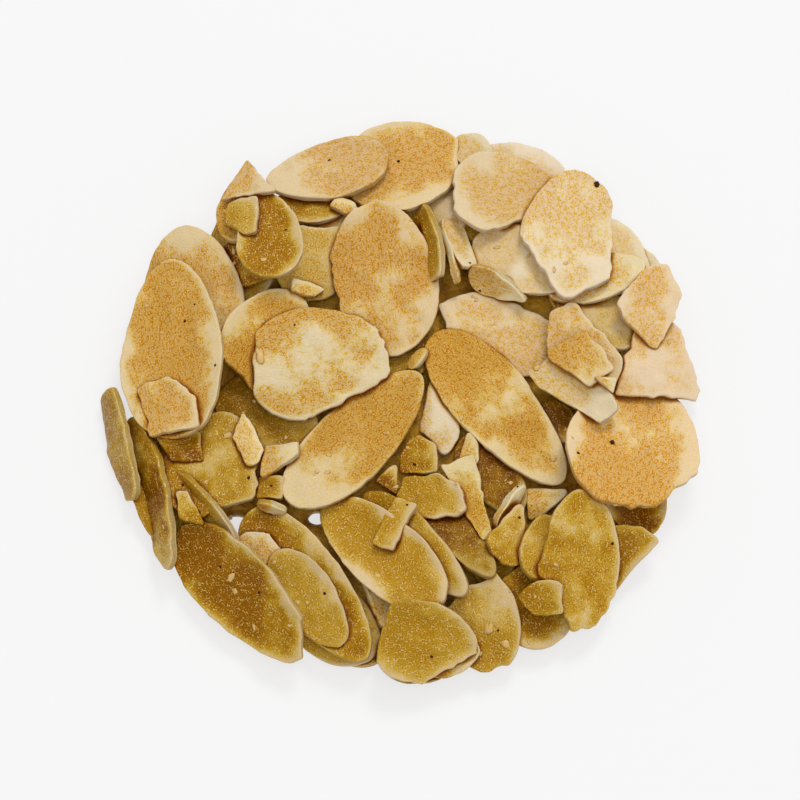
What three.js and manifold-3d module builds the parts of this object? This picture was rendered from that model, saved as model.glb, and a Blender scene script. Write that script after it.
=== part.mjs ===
// An almond cookie: blanched almond slices, whole and broken, baked in a thin batter into
// one flat round cluster. Millimetres, +Z up, origin under the middle of the cookie, on the
// surface that it lies on.
import * as THREE from 'three';
import { mergeVertices } from 'three/addons/utils/BufferGeometryUtils.js';
import Module from 'manifold-3d';

const wasm = await Module();
wasm.setup();

// The slices
const SLICE_THICKNESS = 1.1;
const USUAL_TAPER = 0.15; // how much narrower an almond is towards its pointed end
const LONG_SLICE = 10; // a slice from this length on gets more sides
const SIDES_OF_LONG_SLICE = 15;
const SIDES_OF_SHORT_SLICE = 9;

// The batter under the slices: half of its section, from the axis outwards and back
const CORE_RADIUS = 31;
const CORE_HEIGHT = 3;
const CORE_SECTION = [
  [0, 0],
  [CORE_RADIUS, 0],
  [CORE_RADIUS + 0.4, 0.8],
  [CORE_RADIUS - 1, 1.6],
  [CORE_RADIUS - 6, 2.4],
  [0, CORE_HEIGHT],
];
const CORE_SIDES = 40;

// Narrow gaps between the lower slices, open right down: x, y and radius
const GAPS = [
  [-20.4, -15.4, 1.5],
  [-10.4, -14.2, 1],
  [1.9, 24.3, 1.2],
];
const GAP_SIDES = 8;

// Rings of slices low at the rim, which carry the slices that show
const RIM_RINGS = [
  { count: 13, radius: 27.6, bearings: [0, 360], lieFlat: true },
  { count: 8, radius: 27.8, bearings: [0, 215], lieFlat: false },
];
const RIM_SLICE = { length: [14, 18], width: [8.5, 10.5], swing: 35 };
const SEED = 20;

// How the slices come to rest
const FIELD_REACH = 40; // half the side of the square in which heights are kept
const FIELD_CELL = 0.5;
const STEEPEST_REST = 0.32; // rise over run of a slice that lies on others
const SINK = 0.3; // how far a slice is baked into what it lies on

const ORIGIN = new THREE.Vector2();

/** One slice: its centre, its length and width seen from above, and its heading in degrees. */
function slice(name, [x, y], [length, width], heading, details = {}) {
  return { name, x, y, length, width, heading, taper: USUAL_TAPER, breaks: [], ...details };
}

// The slices that show, from the lowest to the topmost. breaks lists a slice's broken edges,
// each as the direction it faces and its distance from the centre. A slice that leans has its
// upper face towards the direction faces, at a slope in degrees, and its centre at a height.
const SLICES = [
  slice('south_floor', [-7.5, -28.6], [11.5, 9.2], -35),
  slice('south_floor_dark', [2.5, -31.6], [11, 8], 5),
  slice('south_east_floor', [17.2, -25.8], [11, 8], 25),
  slice('east_floor', [25, -18.4], [11, 7], 60),
  slice('south_west_floor', [-27.5, -12.5], [17, 10.5], -68),
  slice('south_east_low', [29, -13], [9, 8], -70),
  slice('south_east_lobe', [28.2, -18.6], [12, 9], 55, { breaks: [[-42, 2.3], [53, 3.3], [93, 2.7]] }),
  slice('east_back_low', [29.8, 17.8], [9.5, 6.5], -45),
  slice('east_back', [27.6, 19.3], [12, 7], -62),
  slice('east_gap_low', [25.6, 10.8], [12.5, 8], -25),
  slice('north_east_under', [24.6, 16.2], [13, 6.5], 12),
  slice('north_east_back', [14.8, 30], [13.6, 11], -2),
  slice('north_strip', [9.3, 33.5], [6.5, 5], -60),
  slice('north_gap_left', [-11.5, 25.9], [9, 5], -3),
  slice('north_gap_chip', [-7.4, 25.9], [4, 3.4], -40, { breaks: [[60, 1], [-120, 1], [150, 1.3]] }),
  slice('north_gap_low', [-11.2, 19.6], [12, 9], 80, { breaks: [[90, 3.6]] }),
  slice('north_west_deep', [-18.3, 19], [10, 7], 20),
  slice('north_west_rim', [-20.5, 25.2], [9.5, 5], 85),
  slice('west_middle_low', [-16.5, -1.5], [14, 10], -30),
  slice('west_low', [-23.5, -8.4], [14.5, 13], 70, { breaks: [[-5, 5.8], [-65, 6]] }),
  slice('west_patch_low', [-27.3, -6.2], [9, 7], 5, {
    breaks: [[97, 1.6], [9, 2.6], [-90, 2.1], [-149, 2.2]],
  }),
  slice('centre_low', [11.5, -9.2], [12, 7], -55),
  slice('centre_leaf', [8.7, -6.1], [5, 3.4], 70, { breaks: [[164, 1], [43, 1.5], [-6, 1.2]] }),
  slice('centre_gap_low', [0.5, 6], [8, 6], 20),
  slice('east_hole_low', [19.5, -2.4], [6, 5], -60),
  slice('south_gap_pale', [-2.7, -26.2], [9, 4], -55, {
    breaks: [[77, 2.5], [-54, 2.7], [37, 1.3], [-157, 1]],
  }),
  slice('south_gap_low', [11.8, -20.8], [6, 5], 30),
  slice('south_east_cup', [17, -25.4], [12, 10], 60),
  slice('south_fan', [9.8, -28.1], [14, 10], -65, {
    breaks: [[133, 4], [113, 4.4], [-34, 6.1], [-75, 6.2]],
  }),
  slice('south_front_under', [6.3, -32.6], [7.5, 4.5], 15),
  slice('south_brown', [7.6, -18.3], [12.5, 5], -52),
  slice('south_right_long', [2, -18.5], [18.5, 5.8], -48),
  slice('south_long', [-11.5, -23.5], [24, 9.5], -52),
  slice('south_middle', [-1.9, -19.8], [20.6, 9], -45, { taper: -0.1, breaks: [[70, 6.2]] }),
  slice('south_chip_pale', [-17.2, -18.8], [8.4, 5.8], -28, {
    breaks: [[133, 2.8], [86, 2], [36, 1.8], [-58, 2.4], [-134, 1.7]],
  }),
  slice('south_left_small', [-11.2, -25.6], [14.5, 7], -54),
  slice('south_front', [3, -31], [13.5, 9.4], -8, {
    breaks: [[-64, 4], [0, 6.7], [163, 5.3]],
    leans: { faces: -88, slope: 24, height: 4.2 },
  }),
  slice('north_west_outer', [-26.2, 14.3], [18.6, 12.6], 97),
  slice('middle_brown', [-16.8, 8], [14.5, 11], 61, { breaks: [[225, 6]] }),
  slice('north_west_fold', [-16.4, 21], [12.4, 8], 95, { taper: 0.3 }),
  slice('north_west_tip', [-19.1, 28.1], [9.5, 8], 75, { breaks: [[151, 1.9], [38, 2.1], [-85, 1.8]] }),
  slice('north_west_block', [-19.8, 23.6], [8, 7], 90, {
    breaks: [[100, 2.1], [-2, 2], [-75, 3.1], [-128, 2.2], [180, 2]],
  }),
  slice('north_top', [0.7, 31.5], [16, 13], 20, { breaks: [[5, 7]] }),
  slice('north_left', [-9.2, 30.8], [15.7, 8.6], 14, { taper: -0.22 }),
  slice('north_middle', [-2.3, 16.1], [20, 14.4], 97, { breaks: [[108, 9.6], [-167, 5.9], [180, 7.2]] }),
  slice('west_large', [-28.2, 6.6], [24.2, 12.6], 92, { taper: 0.22 }),
  slice('west_patch', [-28.4, -1.6], [12, 11], 100, {
    breaks: [[109, 3.9], [49, 3], [7, 3.3], [-85, 3.4], [-165, 3.3]],
  }),
  slice('centre_white', [4.9, -1.5], [13, 6.5], -75, {
    breaks: [[-139, 3.2], [-117, 4.1], [-62, 4.6], [-15, 3.1], [168, 2]],
  }),
  slice('centre_dark_chip', [-1.3, -10], [5, 4], -50, { breaks: [[132, 1.3], [0, 1], [-126, 1.1]] }),
  slice('centre_brown_chip', [2.6, -6.7], [7, 7], 20, {
    breaks: [[148, 2.1], [125, 2.2], [55, 2.1], [2, 2.2], [180, 2.4], [-90, 2.4]],
  }),
  slice('centre_strip', [8.9, -12.6], [14, 9], -76, {
    breaks: [[109, 5.1], [12, 1.6], [-68, 5.7], [-153, 1.5]],
  }),
  slice('south_pale_top', [4.4, -12.4], [11, 7.5], -25, {
    breaks: [[90, 2.7], [61, 2.7], [16, 3.5], [-58, 3.8], [-91, 2.8], [-132, 3], [161, 4.4]],
  }),
  slice('south_stick', [-0.6, -16.4], [10, 6], 62, {
    breaks: [[62, 3.2], [-28, 1.5], [152, 1.4], [-110, 3.2]],
  }),
  slice('leaf_edge', [13.1, -13.7], [7, 1.2], 62, { leans: { faces: 330, slope: 60, height: 4.2 } }),
  slice('leaf_wide', [13.3, -18.1], [10, 7], 65, {
    breaks: [[141, 2.1], [-1, 1.9], [-52, 3.2], [-104, 3.5], [-138, 2.9]],
  }),
  slice('leaf_twist', [17.6, -12.3], [7, 5.5], 20, {
    breaks: [[90, 1.3], [-52, 1.7], [-73, 2.1], [-170, 2.1]],
  }),
  slice('south_east_inner', [17.5, -19], [9, 5.5], 75),
  slice('south_east_main', [21.9, -20.9], [18, 10.5], 82, {
    breaks: [[164, 4.6], [-150, 4.9], [-83, 8.1], [-26, 5.5]],
  }),
  slice('south_east_tab', [17.5, -25.4], [8, 6], -5, {
    breaks: [[126, 1.9], [83, 1.8], [3, 2.6], [-88, 2.3], [-135, 2.2]],
  }),
  slice('north_east_yellow', [15.5, 18.5], [13.5, 9], -25),
  slice('north_east_oval', [13.5, 27.1], [15.2, 11.6], -5, { breaks: [[-72, 4.1], [180, 6.8]] }),
  slice('north_sliver_wide', [4.2, 20.3], [13, 2.4], -77, {
    breaks: [[130, 4.3], [-77, 4.8]],
    leans: { faces: 193, slope: 58, height: 5.4 },
  }),
  slice('north_sliver_thin', [5.6, 19], [8.7, 0.5], -76, { leans: { faces: 14, slope: 75, height: 5.4 } }),
  slice('north_sliver_right', [7, 20.5], [9.5, 3], -68, {
    breaks: [[98, 3.4], [-75, 3.6]],
    leans: { faces: 20, slope: 32, height: 4.6 },
  }),
  slice('north_east_slope', [12.6, 15.7], [8.4, 2], -27, {
    taper: 0.6,
    leans: { faces: 243, slope: 55, height: 4.6 },
  }),
  slice('north_east_pale', [21.6, 21.4], [19, 13], 85, { breaks: [[-146, 5.9], [-66, 7.8], [-3, 5.1]] }),
  slice('south_east_large', [28.9, -5.6], [18.5, 16.4], 80, {
    breaks: [[-135, 9.5], [-94, 8.8], [-44, 8.2]],
  }),
  slice('east_pale', [31.8, 4.6], [14, 11.5], 90, { breaks: [[164, 3.8], [-90, 3.9], [16, 4.7]] }),
  slice('east_peach', [31.3, 12.6], [13, 9], -95, {
    breaks: [[141, 3.3], [83, 5.4], [18, 3.8], [-14, 3.5], [-32, 3.8], [-127, 4.4], [-142, 4.1]],
  }),
  slice('centre_north_east', [12.6, 9.6], [18, 11.5], -25, {
    breaks: [[114, 6.3], [64, 4.1], [-165, 6.7]],
  }),
  slice('centre_east', [22.6, 7.3], [14, 10], -55, { breaks: [[112, 5.2], [38, 3], [180, 3.9]] }),
  slice('centre_east_pale', [21.6, 0.7], [13.5, 7.5], -38, {
    breaks: [[130, 5.5], [-159, 3.9], [-125, 1.6], [-51, 5.8]],
  }),
  slice('centre_east_top', [22.8, 4.1], [12, 8], -54, {
    breaks: [[116, 3.8], [32, 2.9], [-54, 3.4], [-130, 1.9], [-159, 3.3]],
  }),
  slice('centre_left_diagonal', [-5.6, -5], [23.6, 9.8], 46),
  slice('middle_pale', [-10.2, 4.8], [18.4, 14.6], 12, {
    breaks: [[178, 8], [12, 8.5], [67, 7.5], [-58, 5.8]],
  }),
  slice('centre_diagonal', [12.1, -0.7], [24.8, 9.9], -50),
  slice('east_chip', [25.7, 1.2], [5, 4], 0, { breaks: [[92, 0.75], [-13, 0.95], [-129, 0.6]] }),
  slice('centre_tab', [2.5, 5.4], [3.5, 1.6], 50),
  slice('west_chip_standing', [-19.2, -5.1], [9, 6], -65, {
    breaks: [[162, 1.7], [29, 1.4], [-15, 2.4], [-79, 3.6], [-153, 1.6]],
  }),
  slice('west_chip_low', [-15.9, -11.3], [6, 5], 0, {
    breaks: [[90, 1.4], [-2, 1.7], [-95, 1.6], [170, 1.6]],
  }),
  slice('west_chip', [-14.8, -7.4], [8, 6], 25, { breaks: [[95, 1.4], [3, 2.5], [-57, 1.5], [176, 2.2]] }),
  slice('west_strip', [-15.8, -13.3], [4.2, 0.6], -15, { leans: { faces: 255, slope: 70, height: 4.3 } }),
  slice('north_chip', [-12, 14.6], [6, 4], -15, {
    breaks: [[86, 1.1], [68, 1], [-48, 1.5], [-103, 0.9], [180, 2]],
  }),
  slice('west_sliver_outer', [-34.6, -5], [18, 2.4], -76, {
    breaks: [[-88, 7.2], [104, 7.3]],
    leans: { faces: 194, slope: 64, height: 2.5 },
  }),
  slice('west_sliver', [-30.3, -11.6], [20.6, 3.4], -76, { leans: { faces: 194, slope: 56, height: 3.2 } }),
  slice('south_west_edge', [-23.8, -13.5], [12.4, 1.7], -50, {
    leans: { faces: 220, slope: 56, height: 4.4 },
  }),
  slice('south_west_dark', [-19.1, -24.6], [23.5, 8.4], -46, {
    breaks: [[-1, 7.5], [-68, 10.4]],
    leans: { faces: 224, slope: 31, height: 3.5 },
  }),
  slice('south_west_chip', [-26.2, -14.2], [7, 4], -65, {
    breaks: [[99, 2.2], [26, 0.8], [-107, 1.9], [-171, 1.3]],
  }),
];

const direction = (degrees) => {
  const turn = THREE.MathUtils.degToRad(degrees);
  return new THREE.Vector2(Math.cos(turn), Math.sin(turn));
};

/** A generator of numbers from 0 to 1, the same in every run. */
function seededRandom(seed) {
  let state = seed;
  return () => {
    state = (state * 16807) % 2147483647;
    return (state % 10007) / 10007;
  };
}

/** The part of a convex outline that reaches no further than reach in the direction facing. */
function breakOff(points, facing, reach) {
  const outward = direction(facing);
  const kept = [];
  points.forEach((point, i) => {
    const next = points[(i + 1) % points.length];
    const inside = reach - point.dot(outward);
    const nextInside = reach - next.dot(outward);
    if (inside >= 0) kept.push(point);
    if (inside * nextInside < 0) kept.push(point.clone().lerp(next, inside / (inside - nextInside)));
  });
  return kept;
}

/** A slice's outline about its centre, seen from above. */
function sliceOutline({ length, width, heading, taper, breaks }) {
  const sides = length < LONG_SLICE ? SIDES_OF_SHORT_SLICE : SIDES_OF_LONG_SLICE;
  const turn = THREE.MathUtils.degToRad(heading);
  const points = Array.from({ length: sides }, (_, i) => {
    const t = (2 * Math.PI * i) / sides;
    const along = (length / 2) * Math.cos(t);
    const across = (width / 2) * Math.sin(t) * (1 - taper * Math.cos(t));
    return new THREE.Vector2(along, across).rotateAround(ORIGIN, turn);
  });
  return breaks.reduce((outline, [facing, reach]) => breakOff(outline, facing, reach), points);
}

const insideOutline = (outline, point) =>
  outline.every((corner, i) => {
    const next = outline[(i + 1) % outline.length];
    return next.clone().sub(corner).cross(point.clone().sub(corner)) >= 0;
  });

/** The height of the batter's top at a distance from the axis. */
function coreHeight(radius) {
  for (let i = CORE_SECTION.length - 1; i > 2; i--) {
    const [innerRadius, innerHeight] = CORE_SECTION[i];
    const [outerRadius, outerHeight] = CORE_SECTION[i - 1];
    if (radius <= outerRadius) {
      const share = (radius - innerRadius) / (outerRadius - innerRadius);
      return innerHeight + share * (outerHeight - innerHeight);
    }
  }
  return 0;
}

// The top of the heap so far, on a square grid of cells
const FIELD_SIDE = Math.round((2 * FIELD_REACH) / FIELD_CELL);
const cellCentre = (i) => (i + 0.5) * FIELD_CELL - FIELD_REACH;
const field = Array.from({ length: FIELD_SIDE ** 2 }, (_, i) =>
  coreHeight(Math.hypot(cellCentre(i % FIELD_SIDE), cellCentre(Math.floor(i / FIELD_SIDE)))));

/** The cells under an outline, each with its offset from the outline's centre. */
function cellsUnder(outline, x, y) {
  const reach = Math.max(...outline.map((point) => point.length()));
  const first = (centre) => Math.floor((centre - reach + FIELD_REACH) / FIELD_CELL);
  const last = (centre) => Math.ceil((centre + reach + FIELD_REACH) / FIELD_CELL);
  const cells = [];
  for (let row = first(y); row <= last(y); row++) {
    for (let column = first(x); column <= last(x); column++) {
      const offset = new THREE.Vector2(cellCentre(column) - x, cellCentre(row) - y);
      if (insideOutline(outline, offset)) cells.push({ index: row * FIELD_SIDE + column, offset });
    }
  }
  return cells;
}

/** The height at which a slice of the given slope first touches the heap. */
const touchHeight = (cells, slope) => {
  const reached = cells.map(({ index, offset }) => field[index] - slope.dot(offset));
  return Math.max(...reached);
};

/** The height at which a slice of the given slope has its lowest corner on the floor. */
const floorHeight = (outline, slope) => Math.max(...outline.map((corner) => -slope.dot(corner)));

/** The slope at which a slice laid on the heap has its centre lowest, found step by step. */
function restSlope(cells) {
  let slope = new THREE.Vector2();
  let height = touchHeight(cells, slope);
  let step = 0.2;
  while (step > 0.01) {
    let better = false;
    for (let degrees = 0; degrees < 360; degrees += 45) {
      const trial = direction(degrees).multiplyScalar(step).add(slope).clampLength(0, STEEPEST_REST);
      const trialHeight = touchHeight(cells, trial);
      if (trialHeight < height - 1e-6) {
        [slope, height, better] = [trial, trialHeight, true];
      }
    }
    if (!better) step /= 2;
  }
  return slope;
}

/** Lays a slice on the heap: its outline, and the plane of its underside. */
function lay(row) {
  const outline = sliceOutline(row);
  const cells = cellsUnder(outline, row.x, row.y);
  let slope = new THREE.Vector2();
  let height = 0;
  if (row.leans) {
    slope = direction(row.leans.faces).multiplyScalar(-Math.tan(THREE.MathUtils.degToRad(row.leans.slope)));
    height = row.leans.height;
  } else if (!row.lieFlat) {
    slope = restSlope(cells);
    height = Math.max(touchHeight(cells, slope) - SINK, floorHeight(outline, slope));
  }
  const upright = SLICE_THICKNESS * Math.hypot(1, slope.length());
  for (const { index, offset } of cells) {
    field[index] = Math.max(field[index], height + slope.dot(offset) + upright);
  }
  return { ...row, outline, slope, height };
}

/** A ring of slices low at the rim, turned this way and that. */
function rimRing({ count, radius, bearings: [first, last], lieFlat }, random) {
  const between = ([low, high]) => low + (high - low) * random();
  return Array.from({ length: count }, (_, i) => {
    const bearing = first + ((i + 0.3 * random()) * (last - first)) / count;
    const { x, y } = direction(bearing).multiplyScalar(radius);
    const size = [between(RIM_SLICE.length), between(RIM_SLICE.width)];
    return slice('rim', [x, y], size, bearing + 90 + RIM_SLICE.swing * (2 * random() - 1), { lieFlat });
  });
}

function solidOf(geometry) {
  const bare = new THREE.BufferGeometry().setIndex(geometry.index);
  bare.setAttribute('position', geometry.getAttribute('position'));
  const merged = mergeVertices(bare, 1e-4);
  return new wasm.Manifold(new wasm.Mesh({
    numProp: 3,
    vertProperties: new Float32Array(merged.getAttribute('position').array),
    triVerts: new Uint32Array(merged.index.array),
  }));
}

function geometryOf(solid) {
  const mesh = solid.getMesh();
  return new THREE.BufferGeometry()
    .setAttribute('position', new THREE.BufferAttribute(mesh.vertProperties, 3))
    .setIndex(new THREE.BufferAttribute(mesh.triVerts, 1));
}

/** A slice as a thin plate on the plane where it came to rest. */
function sliceSolid({ outline, x, y, slope, height }) {
  const shape = new THREE.Shape(outline);
  const plate = new THREE.ExtrudeGeometry(shape, { depth: SLICE_THICKNESS, bevelEnabled: false });
  const faceNormal = new THREE.Vector3(-slope.x, -slope.y, 1).normalize();
  const along = new THREE.Vector3(1, 0, slope.x);
  const across = new THREE.Vector3(0, 1, slope.y);
  const place = new THREE.Matrix4().makeBasis(along, across, faceNormal).setPosition(x, y, height);
  return solidOf(plate.applyMatrix4(place));
}

function coreSolid() {
  const section = CORE_SECTION.map(([radius, height]) => new THREE.Vector2(radius, height));
  return solidOf(new THREE.LatheGeometry(section, CORE_SIDES).rotateX(Math.PI / 2));
}

function gapSolid([x, y, radius]) {
  const pin = new THREE.CylinderGeometry(radius, radius, 4 * CORE_HEIGHT, GAP_SIDES);
  return solidOf(pin.rotateX(Math.PI / 2).translate(x, y, 0));
}

/** The largest of a solid's separate bodies. */
function largestBody(solid) {
  return solid.decompose().reduce((largest, body) => (body.volume() > largest.volume() ? body : largest));
}

function buildCookie() {
  const random = seededRandom(SEED);
  const rim = RIM_RINGS.flatMap((ring) => rimRing(ring, random)).map(lay);
  const bed = wasm.Manifold.union([coreSolid(), ...rim.map(sliceSolid)]);
  const openBed = bed.subtract(wasm.Manifold.union(GAPS.map(gapSolid)));
  const shown = SLICES.map(lay).map(sliceSolid);
  const cookie = largestBody(wasm.Manifold.union([openBed, ...shown]));
  const geometry = geometryOf(cookie);
  geometry.computeBoundingBox();
  const middle = geometry.boundingBox.getCenter(new THREE.Vector3());
  return geometry.translate(-middle.x, -middle.y, 0);
}

const toastedAlmond = new THREE.MeshStandardMaterial({ color: 0xd0a565, roughness: 0.55, metalness: 0 });
const cookie = new THREE.Mesh(buildCookie(), toastedAlmond);
cookie.name = 'almond_cookie';

const part = new THREE.Group();
part.add(cookie);

export default part;
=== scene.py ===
"""An almond cookie: thin almond slices, whole and broken, heaped and baked together in a little batter."""

import math
from dataclasses import dataclass

import bpy
import numpy as np
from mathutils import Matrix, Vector
from mathutils.bvhtree import BVHTree


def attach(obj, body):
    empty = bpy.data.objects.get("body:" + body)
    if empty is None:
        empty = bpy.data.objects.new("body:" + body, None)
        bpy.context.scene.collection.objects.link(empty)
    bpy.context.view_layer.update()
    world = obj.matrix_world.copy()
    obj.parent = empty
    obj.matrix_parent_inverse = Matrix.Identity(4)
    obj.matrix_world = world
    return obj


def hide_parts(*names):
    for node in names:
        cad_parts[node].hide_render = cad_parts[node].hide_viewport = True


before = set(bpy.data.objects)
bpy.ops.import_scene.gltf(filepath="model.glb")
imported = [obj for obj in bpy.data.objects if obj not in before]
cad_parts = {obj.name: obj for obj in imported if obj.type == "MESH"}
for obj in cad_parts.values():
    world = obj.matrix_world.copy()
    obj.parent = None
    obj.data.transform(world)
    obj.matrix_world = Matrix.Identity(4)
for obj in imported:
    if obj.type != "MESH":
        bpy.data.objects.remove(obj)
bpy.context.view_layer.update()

MM = 0.001  # sizes are in millimetres, apart from those of the studio
NODE = "almond_cookie"


def srgb(red, green, blue):
    """A colour as a screen shows it, from 0 to 255, as light."""
    shares = np.array([red, green, blue]) / 255
    return np.where(shares <= 0.04045, shares / 12.92, ((shares + 0.055) / 1.055) ** 2.4)


# The slices
THICKNESS = 1.1
USUAL_TAPER = 0.15  # how much narrower an almond is towards its pointed end
LONG_SLICE = 10  # a slice from this length on gets more sides
SIDES_OF_LONG_SLICE = 15
SIDES_OF_SHORT_SLICE = 9

# The batter under the slices: its top from the axis outwards
CORE_RADII = (0, 25, 30, 31.4)
CORE_HEIGHTS = (3, 2.4, 1.6, 0.8)

# Narrow gaps between the lower slices, open right down: x, y and radius
GAPS = ((-20.4, -15.4, 1.5), (-10.4, -14.2, 1), (1.9, 24.3, 1.2))

# Rings of slices low at the rim: count, radius, bearing of the end, and whether they lie flat
RIM_RINGS = ((13, 27.6, 360, True), (8, 27.8, 215, False))
RIM_SPACING = 0.3  # how unevenly they are spaced, in steps of the ring
RIM_LENGTHS = (14, 18)
RIM_WIDTHS = (8.5, 10.5)
RIM_SWING = 35  # how far their headings swing, in degrees
RIM_LOOK = "amber"
RIM_TOAST = 1.2

# Random numbers
SEED = 20
RANDOM_FACTOR = 16807
RANDOM_MODULUS = 2147483647
RANDOM_STEPS = 10007

# How the slices come to rest
FIELD_REACH = 40  # half the side of the square in which heights are kept
FIELD_CELL = 0.5
STEEPEST_REST = 0.32  # rise over run of a slice that lies on others
SINK = 0.3  # how far a slice is baked into what it lies on
FIRST_SLOPE_STEP = 0.2
LAST_SLOPE_STEP = 0.01
SLOPE_BEARINGS = range(0, 360, 45)
LEAST_DROP = 1e-6  # a slope is better if it brings the centre lower by more than this

# The looks of slices: the colour of the flesh, and the gloss from 0 to 1.
# The darker looks, olive and deep, also hold painted shade: they go on slices that lie low between others
# or face away from the light
LOOKS = {
    "cream": (srgb(227, 211, 189), 0.3),
    "yellow": (srgb(227, 211, 181), 0.4),
    "golden": (srgb(223, 202, 171), 0.4),
    "peach": (srgb(227, 204, 175), 0.3),
    "amber": (srgb(215, 191, 161), 0.7),
    "olive": (srgb(211, 186, 153), 0.9),
    "deep": (srgb(184, 156, 104), 1),
}


@dataclass
class Slice:
    """One slice: its centre, its length and width seen from above, its heading in degrees,
    its look, and how thick a toasted film it has, which on slices that lie low or face away
    from the light also stands for painted shade.

    taper says how much narrower it is towards its pointed end. breaks lists its broken edges,
    each as the direction it faces and its distance from the centre. A slice that leans has its
    upper face towards a direction, at a slope in degrees, and its centre at a height:
    (direction, slope, height). pale_towards is the direction of its paler side. bends says how
    far its ends and its sides curl up.
    """

    name: str
    centre: tuple
    size: tuple
    heading: float
    look: str
    toast_and_shade: float
    taper: float = USUAL_TAPER
    breaks: tuple = ()
    leans: tuple = ()
    lies_flat: bool = False
    pale_towards: float | None = None
    bends: tuple | None = None


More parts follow.
